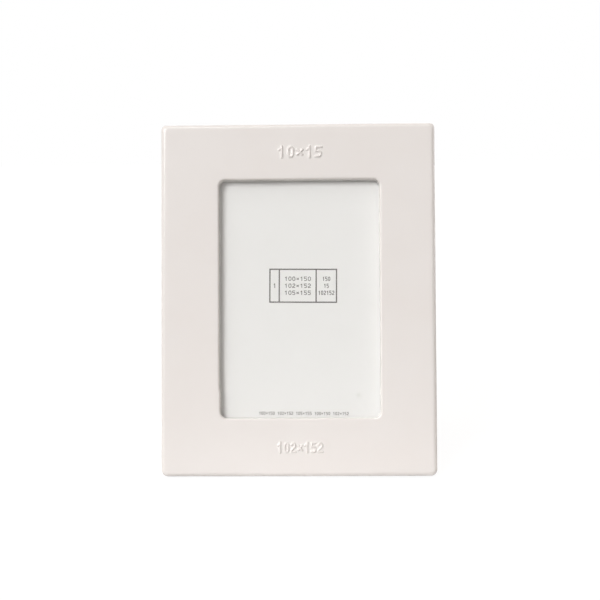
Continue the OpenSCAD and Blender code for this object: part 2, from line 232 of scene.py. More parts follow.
def use(tree, group, **values):
    """The outputs of a group that is placed in a material with that material's own values."""
    inputs = {name.replace("_", " "): value for name, value in values.items()}
    return add(tree, "ShaderNodeGroup", inputs, node_tree=group).outputs


print("shared effects", [group.name for group in (MOTTLE, SPECKS, STREAKS)])

# %% [markdown]
# The glaze is a warm, faintly pink off-white with a soft shine. On the real thing it is a glass layer a
# third of a millimetre thick: it runs thin and shows more of the clay where the surface turns, gathers
# paler in the hollows, ripples gently, and has a pinhole here and there. The mesh will carry two painted
# masks, thin and pool, so that the finish knows where the glaze has run. The ground foot is bare clay.

# %% Glaze and bare clay
GLAZE = (0.812, 0.778, 0.762, 1)
GLAZE_WARM = (0.792, 0.748, 0.726, 1)
GLAZE_THIN = (0.754, 0.684, 0.640, 1)
GLAZE_POOL = (0.822, 0.798, 0.778, 1)
CLAY = (0.72, 0.62, 0.53, 1)
CLAY_DARK = (0.60, 0.50, 0.41, 1)
RIPPLE_DEPTH = 0.03
GRIT_DEPTH = 0.06


def make_glaze():
    """Warm white glass over clay, thinner and warmer on the edges, paler where it has pooled."""
    material, tree, shader, coords = new_material("glaze", IOR=1.5)
    thin = add(tree, "ShaderNodeAttribute", attribute_name="thin").outputs["Fac"]
    pool = add(tree, "ShaderNodeAttribute", attribute_name="pool").outputs["Fac"]
    tones = use(tree, MOTTLE, Vector=coords, Tone=GLAZE, Other_Tone=GLAZE_WARM, Scale=24.0, Amount=0.5)
    tone = tones["Color"]
    tone = blend_colours(tree, maths(tree, "MULTIPLY", thin, 0.15), tone, GLAZE_THIN)
    tone = blend_colours(tree, maths(tree, "MULTIPLY", pool, 0.6), tone, GLAZE_POOL)
    pinholes = use(tree, SPECKS, Vector=coords, Scale=170.0, Size=0.05, Share=0.035)["Mask"]
    tone = blend_colours(tree, maths(tree, "MULTIPLY", pinholes, 0.35), tone, CLAY_DARK)
    tree.links.new(tone, shader.inputs["Base Color"])
    sheen = use(tree, MOTTLE, Vector=coords, Scale=60.0, Amount=1.0)["Mask"]
    tree.links.new(ranged(tree, sheen, 0.0, 1.0, 0.14, 0.20), shader.inputs["Roughness"])
    ripple = add(tree, "ShaderNodeTexNoise", {"Vector": coords, "Scale": 170.0, "Detail": 2.0})
    height = maths(tree, "SUBTRACT", ripple.outputs["Fac"], pinholes)
    bump(tree, shader, height, RIPPLE_DEPTH)
    return material


def make_clay():
    """Bare fired clay, dull and gritty."""
    material, tree, shader, coords = new_material("bare_clay", IOR=1.45)
    tones = use(tree, MOTTLE, Vector=coords, Tone=CLAY, Other_Tone=CLAY_DARK, Scale=260.0, Amount=0.5)
    tone = tones["Color"]
    grit = use(tree, SPECKS, Vector=coords, Scale=1400.0, Size=0.4, Share=0.4)["Mask"]
    tree.links.new(blend_colours(tree, maths(tree, "MULTIPLY", grit, 0.3), tone, CLAY_DARK),
                   shader.inputs["Base Color"])
    tree.links.new(ranged(tree, grit, 0.0, 1.0, 0.85, 0.95), shader.inputs["Roughness"])
    bump(tree, shader, grit, GRIT_DEPTH)
    return material


glaze = make_glaze()
bare_clay = make_clay()
print("finishes", glaze.name, bare_clay.name)

# %% [markdown]
# Nearly every part of a cast frame is a closed outline that changes as it goes round the clay: mouth,
# face, outer edge, back, pocket, seat, and back to the mouth. Such a shape is lofted: outlines with the
# same number of points are joined by quads, the last one to the first, and the shell closes on itself.
# A modelled and bevelled block would do too, but here each fold of the clay can be set by itself.

# %% Helpers: loft a closed shell, and finish a mesh
SHARP = math.radians(38)


def new_object(name, data):
    """An object in the scene that shows a mesh, a lamp or a camera."""
    thing = bpy.data.objects.new(name, data)
    bpy.context.scene.collection.objects.link(thing)
    return thing


def finish_mesh(name, shell, *materials):
    """Turns a bmesh into an object with outward faces and soft shading, and prints its size."""
    bmesh.ops.recalc_face_normals(shell, faces=shell.faces)
    open_edges = sum(not edge.is_manifold for edge in shell.edges)
    mesh = bpy.data.meshes.new(name)
    shell.to_mesh(mesh)
    shell.free()
    mesh.shade_smooth()
    mesh.set_sharp_from_angle(angle=SHARP)
    for material in materials:
        mesh.materials.append(material)
    print(name, len(mesh.polygons), "faces,", open_edges, "open edges")
    return new_object(name, mesh)


def loft(rings, capped=False, shell=None):
    """A shell through closed rings of points. The last ring joins the first, or both ends are capped."""
    shell = shell or bmesh.new()
    loops = [[shell.verts.new(point) for point in ring] for ring in rings]
    for ring, following in zip(loops, loops[1:] if capped else loops[1:] + loops[:1]):
        for i in range(len(ring)):
            shell.faces.new((ring[i - 1], ring[i], following[i], following[i - 1]))
    if capped:
        shell.faces.new(loops[0])
        shell.faces.new(reversed(loops[-1]))
    return shell


def smoothstep(low, high, value):
    """Eases from 0 at low to 1 at high."""
    share = min(max((value - low) / (high - low), 0), 1)
    return share * share * (3 - 2 * share)


def between(start, end, steps):
    """Evenly spaced values from start to end, without the two ends."""
    return [start + (end - start) * i / steps for i in range(1, steps)]


def quarter(steps):
    """Shares across and down a quarter round, from flat on top to upright at the side."""
    angles = [math.pi / 2 * i / steps for i in range(steps + 1)]
    return [(1 - math.sin(a), 1 - math.cos(a)) for a in angles]


# %% [markdown]
# The ceramic body. It is slip cast, so its edges are round, its walls have a little draft, and it
# shrinks a touch unevenly in the kiln. The opening isn't quite in the middle of the casting.
# Its outlines are rectangles with round corners. Along the top and bottom they are cut finely where the
# raised marks sit, and coarsely elsewhere, so that the detail doesn't cost faces all over.

# %% Sizes of the casting, in millimetres
FRAME_W = 172
FRAME_H = 220.5
FRAME_T = 15
CASTING_RIGHT = -0.9
CASTING_UP = -0.5
EDGE_R = 3
TOP_CORNER_R = 3
FOOT_CORNER_R = 4.2
MOUTH_W = 103.4
MOUTH_H = 151.9
MOUTH_CORNER_R = 5.4
ROLL_R = 1.4
DRAFT = math.radians(3)
LIP_EDGE_R = 0.08
SEAT_W = 103.6
SEAT_H = 153.6
SEAT_CORNER_R = 2
LEDGE_W = 11
POCKET_CORNER_R = 8
POCKET_EDGE_R = 0.8

# %% Outlines that all have the same number of points
ARC_STEPS = 10
SIDE_STEPS = 72
REST_STEPS = 16
FINE_HALF = 16
FINE_STEP = 0.22
MARKS_RIGHT = 0.25
fine_count = round(FINE_HALF / FINE_STEP)
FINE_COLUMNS = [MARKS_RIGHT - FINE_STEP * i for i in range(-fine_count, fine_count + 1)]


def arc(right, up, radius, start):
    """Points of a quarter turn about a centre, from an angle in degrees, anticlockwise."""
    angles = [math.radians(start + 90 * i / ARC_STEPS) for i in range(ARC_STEPS + 1)]
    return [(right + radius * math.cos(a), up + radius * math.sin(a)) for a in angles]


def across_rail(half, right):
    """Places along the top or the bottom, from the right end to the left, about a middle."""
    columns = [c - right for c in FINE_COLUMNS]
    return between(half, columns[0], REST_STEPS) + columns + between(columns[-1], -half, REST_STEPS)


def outline(width, height, top_r, foot_r, right=0, up=0):
    """Points round a rectangle with round corners, about a middle, with fine columns for the marks."""
    x, z = width / 2, height / 2
    points = arc(x - top_r, z - top_r, top_r, 0)
    points += [(c, z) for c in across_rail(x - top_r, right)]
    points += arc(top_r - x, z - top_r, top_r, 90)
    points += [(-x, c) for c in between(z - top_r, foot_r - z, SIDE_STEPS)]
    points += arc(foot_r - x, foot_r - z, foot_r, 180)
    points += [(c, -z) for c in reversed(across_rail(x - foot_r, right))]
    points += arc(x - foot_r, foot_r - z, foot_r, 270)
    points += [(x, c) for c in between(foot_r - z, z - top_r, SIDE_STEPS)]
    return [(right + a, up + b) for a, b in points]


def opening(inset):
    """Outline of the opening, so far inside its mouth."""
    radius = MOUTH_CORNER_R - inset
    return outline(MOUTH_W - 2 * inset, MOUTH_H - 2 * inset, radius, radius)


def seat(outset, radius):
    """Outline of the seat, or of the pocket round it, so far outside the seat."""
    return outline(SEAT_W + 2 * outset, SEAT_H + 2 * outset, radius, radius)


def casting(inset):
    """Outline of the casting, so far inside its sides. Its corners keep half their roundness inside."""
    rounder = [radius - inset / 2 for radius in (TOP_CORNER_R, FOOT_CORNER_R)]
    return outline(FRAME_W - 2 * inset, FRAME_H - 2 * inset, *rounder, CASTING_RIGHT, CASTING_UP)


print("points in an outline", len(casting(0)))

# %% [markdown]
# The profile of the clay is a list of outlines with their depths. It starts at the outer edge of the
# front face, crosses the rail, rolls into the mouth and runs down the drafted wall to the glass. Behind
# the lip come the seat, the ledge that carries the fastenings, the pocket wall and the back face.
# The rail is cut into fine steps only in the band that the raised marks take.

# %% The profile, as outlines and depths
RAIL_STEPS = 5
MARK_BAND = (0.34, 0.70)
ROLL_STEPS = 12
WALL_STEPS = 6
EDGE_STEPS = 9
SMALL_STEPS = 4
body = []


def mixed(start, end, share):
    """An outline part of the way from one to another."""
    return [(a + (c - a) * share, b + (d - b) * share) for (a, b), (c, d) in zip(start, end)]


def rail_shares():
    """Shares from the mouth to the outer edge, fine where the marks are."""
    fine = round((MARK_BAND[1] - MARK_BAND[0]) * (FRAME_H - MOUTH_H) / 2 / FINE_STEP)
    shares = between(0, MARK_BAND[0], RAIL_STEPS) + [MARK_BAND[0]]
    shares += between(*MARK_BAND, fine)
    return shares + [MARK_BAND[1]] + between(MARK_BAND[1], 1, RAIL_STEPS)


def add_front_face():
    """From the outer edge of the face across the rail."""
    for share in reversed(rail_shares()):
        body.append((mixed(opening(0), casting(EDGE_R), share), 0))


def add_mouth():
    """Round the rolled edge, down the wall and round the fine edge at the glass."""
    steep = math.pi / 2 - DRAFT
    for i in range(ROLL_STEPS + 1):
        turn = steep * i / ROLL_STEPS
        body.append((opening(ROLL_R * math.sin(turn)), ROLL_R * (1 - math.cos(turn))))
    start = ROLL_R * (1 - math.cos(steep))
    for depth in between(start, LIP_DEPTH - LIP_EDGE_R, WALL_STEPS) + [LIP_DEPTH - LIP_EDGE_R]:
        inset = ROLL_R * math.sin(steep) + (depth - start) * math.tan(DRAFT)
        body.append((opening(inset), depth))
    for share, down in reversed(quarter(SMALL_STEPS)[:-1]):
        body.append((opening(inset - LIP_EDGE_R * share), LIP_DEPTH - LIP_EDGE_R * down))


def add_seat_and_pocket():
    """The wall of the seat, the ledge, and the wall of the pocket with its rounded rim."""
    body.append((seat(0, SEAT_CORNER_R), LIP_DEPTH))
    body.append((seat(0, SEAT_CORNER_R), LEDGE_DEPTH))
    body.append((seat(LEDGE_W, POCKET_CORNER_R), LEDGE_DEPTH))
    for share, down in reversed(quarter(SMALL_STEPS)):
        outset = LEDGE_W + POCKET_EDGE_R * (1 - share)
        body.append((seat(outset, POCKET_CORNER_R), FRAME_T - POCKET_EDGE_R * (1 - down)))


def add_back_and_sides():
    """Across the back, round its edge, along the sides and round the front edge."""
    pocket = seat(LEDGE_W + POCKET_EDGE_R, POCKET_CORNER_R)
    for share in between(0, 1, RAIL_STEPS):
        body.append((mixed(pocket, casting(EDGE_R), share), FRAME_T))
    for share, down in quarter(EDGE_STEPS):
        body.append((casting(EDGE_R * share), FRAME_T - EDGE_R * down))
    for depth in between(FRAME_T - EDGE_R, EDGE_R, RAIL_STEPS):
        body.append((casting(0), depth))
    for share, down in reversed(quarter(EDGE_STEPS)):
        body.append((casting(EDGE_R * share), EDGE_R * down))


add_front_face()
add_mouth()
add_seat_and_pocket()
add_back_and_sides()
print("outlines in the profile", len(body))

# %% [markdown]
# The raised marks on the rails are plain sizes, cut into the mould as round grooves. Glaze softens them
# further: it runs thin over their crests and gathers at their feet. Each figure is a few middle lines,
# written as shares of its width and height. How high the clay stands follows from the distance to the
# nearest line, so a figure melts into the rail with no seam.

# %% Middle lines of the figures
ZERO = [[(0.3, 0), (0.7, 0), (1, 0.22), (1, 0.78), (0.7, 1), (0.3, 1), (0, 0.78), (0, 0.22), (0.3, 0)]]
ONE = [[(0.05, 0.72), (0.6, 0.94)], [(0.6, -0.08), (0.6, 1.08)]]
TWO = [[(0, 0.8), (0.28, 1), (0.72, 1), (1, 0.8), (1, 0.6), (0, 0.18), (0, 0), (1.1, 0)]]
FIVE = [[(1.1, 1), (0, 1), (0, 0.56), (0.7, 0.56), (1, 0.4), (1, 0.18), (0.72, 0), (-0.1, 0)]]
TIMES = [[(0, 0.2), (1, 0.72)], [(0, 0.72), (1, 0.2)]]


def figure_lines(figures, width, height, pitch, right, up):
    """The lines of a row of figures that is centred on a point, each a list of points in millimetres."""
    lines = []
    for i, figure in enumerate(figures):
        left = right + (i - (len(figures) - 1) / 2) * pitch - width / 2
        for line in figure:
            lines.append([Vector((left + a * width, up - height / 2 + b * height)) for a, b in line])
    return lines


def distance(point, lines):
    """From a point to the nearest of some lines."""
    nearest = math.inf
    for line in lines:
        for start, end in zip(line, line[1:]):
            along = end - start
            share = min(max((point - start).dot(along) / along.length_squared, 0), 1)
            nearest = min(nearest, (point - start - along * share).length)
    return nearest


# %% Height of the clay in the marks
MARK_H = 0.78
MARK_REACH = 5
MARK_MELT = 0.45
CREST_SHARES = (0.35, 0.6)
FOOT_SHARES = (1, 1.6)
TOP_STROKE = 1.35
TOP_FIGURE = (3, 6)
TOP_PITCH = 5.8
TOP_RIGHT = CASTING_RIGHT + 1.5
TOP_DROP = 0.9
LOW_STROKE = 1.1
LOW_FIGURE = (2.2, 5.4)
LOW_PITCH = 4.2
LOW_RIGHT = CASTING_RIGHT + 0.8
LOW_LIFT = 0.6
rail_middle = (MOUTH_H + FRAME_H) / 4
top_up = CASTING_UP / 2 + rail_middle - TOP_DROP
low_up = CASTING_UP / 2 - rail_middle + LOW_LIFT
top_lines = figure_lines([ONE, ZERO, TIMES, ONE, FIVE], *TOP_FIGURE, TOP_PITCH, TOP_RIGHT, top_up)
low_lines = figure_lines([ONE, ZERO, TWO, TIMES, ONE, FIVE, TWO], *LOW_FIGURE, LOW_PITCH, LOW_RIGHT, low_up)
marks = [(top_up, TOP_STROKE, top_lines), (low_up, LOW_STROKE, low_lines)]


def raised(right, up):
    """How high the clay stands at a place on the face, and how much glaze has gathered there."""
    for mark_up, stroke, lines in marks:
        if abs(up - mark_up) < MARK_REACH and abs(right - MARKS_RIGHT) < FINE_HALF:
            off = distance(Vector((right, up)), lines)
            height = 1 - smoothstep(0, stroke / 2 + MARK_MELT, off)
            from_crest = smoothstep(*[stroke * share for share in CREST_SHARES], off)
            to_rail = 1 - smoothstep(*[stroke * share for share in FOOT_SHARES], off)
            return MARK_H * height, from_crest * to_rail
    return 0, 0


print("marks at", [round(mark[0], 2) for mark in marks], "mm")

# %% [markdown]
# No cast surface is quite flat. It sinks by a tenth of a millimetre here and there, and has a few dents.
# One side of the mouth has a small step where the mould halves met, and its edges wander up and down.
# A noise that is tied to the place gives the same slow waves each run. The clay only ever sinks inwards,
# so the outside never grows past the model. The seat and pocket stay true, as other pieces lie in them.

# %% Uneven clay
WAVE = 0.14
WAVE_LENGTH = 30
WANDER = 0.22
WANDER_ACROSS = 16
WANDER_UP = 40
NEAR_MOUTH = (0.5, 3)
STEP_IN = 0.55
STEP_UP = -57
STEP_ABOVE = 1.5
STEP_BELOW = 2.5
SEAT_MARGIN = 0.1
DENTS = [
    (-26.6, -74.6, 1.3, 0.35),
    (-61.6, -70.3, 1.6, 0.16),
    (68.5, -98.5, 2.2, 0.12),
    (63.0, 34.0, 2.6, 0.07),
]


def in_seat(right, up, depth):
    """Whether a point belongs to the seat, the ledge or the pocket."""
    reach = LEDGE_W + POCKET_EDGE_R + SEAT_MARGIN
    inside = abs(right) < SEAT_W / 2 + reach and abs(up) < SEAT_H / 2 + reach
    return inside and depth > LIP_DEPTH - LIP_EDGE_R


def sunk(right, up, depth):
    """How far the surface has sunk at a place, in millimetres."""
    slow = noise.noise(Vector((right, up, depth)) / WAVE_LENGTH)
    quick = noise.noise(Vector((right, up, depth)) / (WAVE_LENGTH / 4))
    total = WAVE * (0.5 + 0.4 * slow + 0.1 * quick)
    for dent_right, dent_up, radius, deep in DENTS:
        off = math.hypot(right - dent_right, up - dent_up)
        if depth < LIP_DEPTH:
            total += deep * (1 - smoothstep(0, radius, off))
    return max(total, 0)


def drift(right, up, depth):
    """How far the edge of the mouth has moved sideways and up at a place."""
    outside = max(abs(right) - MOUTH_W / 2, abs(up) - MOUTH_H / 2)
    near = 1 - smoothstep(*NEAR_MOUTH, outside)
    if depth > LIP_DEPTH - LIP_EDGE_R or near == 0:
        return 0, 0
    wander = noise.noise(Vector((right / WANDER_ACROSS, up / WANDER_UP, 0.5))) * WANDER * near
    left = smoothstep(-MOUTH_W / 4, -MOUTH_W / 2.3, right)
    step = STEP_IN * left * smoothstep(STEP_UP + STEP_ABOVE, STEP_UP - STEP_BELOW, up) * near
    return step, wander


print("deepest dent", max(dent[3] for dent in DENTS), "mm")

# %% Shape the casting
THIN_TILT = (0.02, 0.26)
POOL_FROM = 2.5
POOL_TO = 0.5
FACE_DEPTH = 1


def cast_shell():
    """The lofted clay with its marks raised and its surface made uneven, and the two masks painted."""
    rings = []
    for ring, depth in body:
        points = []
        for right, up in ring:
            side, lift = drift(right, up, depth)
            height = raised(right, up)[0] if depth == 0 else 0
            points.append(place(right + side, up + lift, depth - height))
        rings.append(points)
    shell = loft(rings)
    bmesh.ops.recalc_face_normals(shell, faces=shell.faces)
    shell.normal_update()
    thin = shell.verts.layers.float.new("thin")
    pool = shell.verts.layers.float.new("pool")
    moved = []
    for vert in shell.verts:
        right, up, depth = on_frame(vert.co)
        tilt = 1 - max(abs(vert.normal.dot(axis)) for axis in (RIGHT, UP, BACK))
        vert[thin] = smoothstep(*THIN_TILT, tilt)
        at_foot = smoothstep(LIP_DEPTH - POOL_FROM, LIP_DEPTH - POOL_TO, depth)
        vert[pool] = raised(right, up)[1] if depth < FACE_DEPTH else at_foot
        if not in_seat(right, up, depth):
            moved.append((vert, vert.co - vert.normal * sunk(right, up, depth) * MM))
    for vert, point in moved:
        vert.co = point
    return shell


def grind_foot(shell):
    """Cuts the shell flat where it stands, and closes the cut with bare clay."""
    everything = shell.verts[:] + shell.edges[:] + shell.faces[:]
    bmesh.ops.bisect_plane(shell, geom=everything, plane_co=(0, 0, 0), plane_no=(0, 0, 1), clear_inner=True)
    rim = [edge for edge in shell.edges if edge.is_boundary]
    land = bmesh.ops.holes_fill(shell, edges=rim)["faces"]
    for face in land:
        face.material_index = 1
    bmesh.ops.triangulate(shell, faces=land)


shell = cast_shell()
grind_foot(shell)
ceramic_body = finish_mesh("ceramic_body", shell, glaze, bare_clay)

# %% [markdown]
# Four blind holes in the ledge take the plugs for the turn buttons. A hole is easiest to cut with a
# Boolean: one object with four round bars is taken away from the clay. The result is read back as a
# plain mesh, and both the modifier and the bars are thrown away. The buttons' joints give the places.

# %% Drill the blind holes
HOLE_R = 3.1
HOLE_DEPTH = 6.6
OVERRUN = 1
ROUND_STEPS = 32
PIVOTS = {}
for name, joint in joints.items():
    if name.startswith("button"):
        PIVOTS[name.removesuffix("_turn")] = Vector(joint["pos_m"])


def circle(radius, steps=ROUND_STEPS):
    """Points round a circle, as pairs."""
    turns = [2 * math.pi * i / steps for i in range(steps)]
    return [(radius * math.cos(a), radius * math.sin(a)) for a in turns]


def turned(profile, shell=None, right=0, up=0):
    """A shell turned about an axis that runs back, from pairs of radius and depth."""
    rings = [[(right + a, depth, up + b) for a, b in circle(radius)] for radius, depth in profile]
    return loft(rings, capped=True, shell=shell)


def to_frame(at):
    """Turns millimetres about a point, with y running back, into metres in the leaning frame."""
    axes = Matrix((RIGHT, BACK, UP)).transposed().to_4x4()
    return Matrix.Translation(at) @ axes @ Matrix.Scale(MM, 4)


def read_back(piece):
    """Replaces the mesh of a piece by the one that its modifiers make, and drops the modifiers."""
    bpy.context.view_layer.update()
    seen = piece.evaluated_get(bpy.context.evaluated_depsgraph_get())
    mesh = bpy.data.meshes.new_from_object(seen)
    piece.modifiers.clear()
    piece.data = mesh


def carve(piece, cutter):
    """Takes one object away from another, and removes it."""
    cut = piece.modifiers.new("carve", "BOOLEAN")
    cut.object = cutter
    cut.solver = "EXACT"
    read_back(piece)
    bpy.data.objects.remove(cutter)


def stands_for(piece, body, slot, *nodes):
    """Shows a piece in place of pieces of the model, moving with the same body."""
    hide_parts(*nodes)
    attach(piece, body)


bars = bmesh.new()
for pivot in PIVOTS.values():
    right, up, _ = on_frame(pivot)
    turned([(HOLE_R, LEDGE_DEPTH - HOLE_DEPTH), (HOLE_R, LEDGE_DEPTH + OVERRUN)], bars, right, up)
bars.transform(to_frame(MIDDLE))
carve(ceramic_body, finish_mesh("hole_bars", bars))
stands_for(ceramic_body, "frame", "ceramic_glaze", "ceramic_frame")
print("ceramic body", len(ceramic_body.data.polygons), "faces")

# %% [markdown]
# The flat pieces have shapes so plain that the model's own solids are the best start. A copy gets its
# triangles joined into whole faces and its sharp edges rounded: glass has its edges seamed with a stone,
# hardboard is sawn and wiped with sandpaper, and punched sheet steel has a fine burr that is rolled off.

# %% Finishes of the flat pieces
STEEL = (0.62, 0.62, 0.63, 1)
STEEL_DULL = (0.50, 0.50, 0.52, 1)
BRASS = (0.72, 0.53, 0.24, 1)
BRASS_DULL = (0.55, 0.38, 0.17, 1)
BOARD = (0.255, 0.135, 0.062, 1)
BOARD_DARK = (0.165, 0.082, 0.036, 1)
BOARD_FLECK = (0.40, 0.26, 0.14, 1)
CARD = (0.810, 0.800, 0.798, 1)
CARD_WARM = (0.793, 0.783, 0.780, 1)
CARD_SMUDGE = (0.66, 0.655, 0.63, 1)
SMUDGE_RIGHT = 36.5
SMUDGE_UP = -60.7
SMUDGE_CORE_R = 0.6
SMUDGE_R = 2.2
LINE_DEPTH = 0.008
FIBRE_DEPTH = 0.04
PAPER_DEPTH = 0.006
INK = (0.070, 0.056, 0.052, 1)


def make_metal(name, tone, dull, rough, stretch):
    """Sheet metal with the fine lines of its rolling and duller patches where it was handled."""
    material, tree, shader, coords = new_material(name, Metallic=1.0)
    patches = use(tree, MOTTLE, Vector=coords, Tone=tone, Other_Tone=dull, Scale=90.0, Amount=0.8)
    lines = use(tree, STREAKS, Vector=coords, Stretch=stretch, Scale=420.0)["Value"]
    tree.links.new(patches["Color"], shader.inputs["Base Color"])
    wear = maths(tree, "ADD", maths(tree, "MULTIPLY", patches["Mask"], 0.5), lines)
    tree.links.new(ranged(tree, wear, 0.2, 1.2, rough - 0.09, rough + 0.13), shader.inputs["Roughness"])
    bump(tree, shader, lines, LINE_DEPTH)
    return material


def make_hardboard():
    """Pressed wood fibre: dark brown, faintly shiny, with pale flecks and a fine tangle of fibres."""
    material, tree, shader, coords = new_material("hardboard", IOR=1.45)
    tones = use(tree, MOTTLE, Vector=coords, Tone=BOARD, Other_Tone=BOARD_DARK, Scale=420.0, Amount=0.5)
    tone = tones["Color"]
    fibres = use(tree, STREAKS, Vector=coords, Stretch=(1.0, 1.0, 0.3), Scale=1100.0)["Value"]
    tone = blend_colours(tree, ranged(tree, fibres, 0.45, 0.75, 0.0, 0.6), tone, BOARD_DARK)
    flecks = use(tree, SPECKS, Vector=coords, Scale=900.0, Size=0.42, Share=0.08)["Mask"]
    tree.links.new(blend_colours(tree, maths(tree, "MULTIPLY", flecks, 0.5), tone, BOARD_FLECK),
                   shader.inputs["Base Color"])
    tree.links.new(ranged(tree, fibres, 0.3, 0.7, 0.42, 0.62), shader.inputs["Roughness"])
    bump(tree, shader, fibres, FIBRE_DEPTH)
    return material


def make_card():
    """Smooth coated paper, its tone barely uneven, with one faint smudge near its right side."""
    material, tree, shader, coords = new_material("card", IOR=1.45, Roughness=0.7)
    tone = use(tree, MOTTLE, Vector=coords, Tone=CARD, Other_Tone=CARD_WARM, Scale=30.0, Amount=0.6)["Color"]
    spot = place(SMUDGE_RIGHT, SMUDGE_UP, CARD_DEPTH)
    off = add(tree, "ShaderNodeVectorMath", {0: coords, 1: spot}, operation="DISTANCE").outputs["Value"]
    soft = ranged(tree, off, SMUDGE_CORE_R * MM, SMUDGE_R * MM, 0.45, 0.0)
    tree.links.new(blend_colours(tree, soft, tone, CARD_SMUDGE), shader.inputs["Base Color"])
    fibres = use(tree, STREAKS, Vector=coords, Scale=1500.0)["Value"]
    bump(tree, shader, fibres, PAPER_DEPTH)
    return material


def make_glass():
    """Clear float glass. Light and shadow pass straight through it, and the eye sees its shine."""
    material, tree, shader, _ = new_material(
        "picture_glass", Base_Color=(0.995, 1.0, 0.997, 1), Roughness=0.0, IOR=1.5, Transmission_Weight=1.0)
    rays = add(tree, "ShaderNodeLightPath").outputs
    passing = maths(tree, "MAXIMUM", rays["Is Shadow Ray"], rays["Is Diffuse Ray"])
    clear = add(tree, "ShaderNodeBsdfTransparent", {"Color": (0.995, 1.0, 0.997, 1)})
    either = blend_shaders(tree, passing, shader.outputs[0], clear.outputs[0])
    tree.links.new(either, tree.nodes["Material Output"].inputs["Surface"])
    return material


hinge_steel = make_metal("hinge_steel", STEEL, STEEL_DULL, 0.36, (1.0, 0.05, 0.05))
hardboard = make_hardboard()
card = make_card()
picture_glass = make_glass()
print("finishes", [m.name for m in (hinge_steel, hardboard, card, picture_glass)])

# %% Glass, board, strut and hinge
WELD = 0.002
FLAT = math.radians(1)
CREASE = math.radians(30)
SEAMED = 0.3
SANDED = 0.35
ROLLED = 0.12
PIN_EDGE = 0.1


def soften(name, node, width, steps, material, body, slot):
    """Shows a copy of a piece of the model in its place, with whole faces and its sharp edges rounded.
    The shading of each round edge leaves the flat faces beside it flat."""
    shell = bmesh.new()
    shell.from_mesh(frame["nodes"][node].data)
    bmesh.ops.remove_doubles(shell, verts=shell.verts, dist=WELD * MM)
    bmesh.ops.dissolve_limit(shell, angle_limit=FLAT, verts=shell.verts, edges=shell.edges)
    creases = [edge for edge in shell.edges if edge.is_manifold and edge.calc_face_angle() > CREASE]
    bmesh.ops.bevel(shell, geom=creases, offset=width * MM, offset_type="OFFSET", segments=steps,
                    profile=0.5, affect="EDGES", clamp_overlap=True)
    piece = finish_mesh(name, shell, material)
    piece.modifiers.new("flat_stays_flat", "WEIGHTED_NORMAL").keep_sharp = True
    read_back(piece)
    stands_for(piece, body, slot, node)


soften("glass", "glass_pane", SEAMED, 1, picture_glass, "frame", "picture_glass")
soften("board", "backing_board", SANDED, 2, hardboard, "frame", "hardboard")
soften("strut_board", "easel_strut", SANDED, 2, hardboard, "strut", "hardboard")
soften("board_leaf", "hinge_board_leaf", ROLLED, 2, hinge_steel, "frame", "hinge_steel")
soften("strut_leaf", "hinge_strut_leaf", ROLLED, 2, hinge_steel, "strut", "hinge_steel")
soften("pin", "hinge_pin", PIN_EDGE, 2, hinge_steel, "frame", "hinge_steel")
frame["nodes"]["insert_card"].data.materials[0] = card

# %% [markdown]
# The turn buttons are brass stampings: a flat strip with round ends and one hole, turned over the back
# of the board. The same function presses all four, each about the axis of its own joint. Its rings run
# from the hole over one face, round the outer edge, and back over the other face to the hole.

# %% Turn buttons
BUTTON_R = 4
BUTTON_REACH = 15
BUTTON_HOLE_R = 1.58
PRESSED_R = 0.28
BUTTON_STEPS = 20
brass = make_metal("button_brass", BRASS, BRASS_DULL, 0.34, (0.06, 0.06, 1.0))


def strip_ends(radius):
    """Outline of a strip with round ends, about the pivot, its tip at the reach of the button."""
    turns = [math.pi * i / BUTTON_STEPS for i in range(BUTTON_STEPS + 1)]
    near = [(radius * math.cos(a), -radius * math.sin(a)) for a in turns]
    far = [(-radius * math.cos(a), BUTTON_REACH + radius * math.sin(a)) for a in turns]
    sides = between(0, BUTTON_REACH, BUTTON_STEPS)
    left = [(-radius, b) for b in sides]
    right = [(radius, b) for b in reversed(sides)]
    return near + left + far + right


def hole_points(radius, count):
    """As many points round the hole, starting on the same side."""
    return [(a, -b) for a, b in circle(radius, count)]


def turn_button(name, pivot):
    """A stamped button, its flat strip pointing from its pivot towards the middle of the board."""
    tip = place(0, 0, on_frame(pivot)[2]) - pivot
    side = RIGHT if abs(tip.dot(UP)) > abs(tip.dot(RIGHT)) else UP
    tip.normalize()
    right, up, _ = on_frame(pivot)
    count = len(strip_ends(BUTTON_R))
    rounds = quarter(SMALL_STEPS)
    profile = [(hole_points(BUTTON_HOLE_R, count), BUTTON_T * share) for share in (0.9, 0.1)]
    profile += [(hole_points(BUTTON_HOLE_R + PRESSED_R, count), 0)]
    edges = [(strip_ends(BUTTON_R - PRESSED_R * share), PRESSED_R * down) for share, down in rounds]
    profile += edges[::-1]
    profile += [(edge, BUTTON_T - down) for edge, down in edges]
    profile += [(hole_points(BUTTON_HOLE_R + PRESSED_R, count), BUTTON_T)]
    seat_at = place(right, up, BUTTON_DEPTH)
    rings = []
    for ring, depth in profile:
        rings.append([seat_at + (side * a + tip * b + BACK * depth) * MM for a, b in ring])
    piece = finish_mesh(name + "_plate", loft(rings), brass)
    stands_for(piece, name, "button_brass", "turn_" + name)


for name, pivot in PIVOTS.items():
    turn_button(name, pivot)

# %% [markdown]
# The screws are one piece over and over, and so are the rivets on each side of the hinge, so each is
# made once and a geometry node tree puts copies on a handful of points. It turns every copy by a chance
# angle about its own axis, as a hand with a screwdriver would leave it. The seed is fixed, so the angles
# are the same each run.

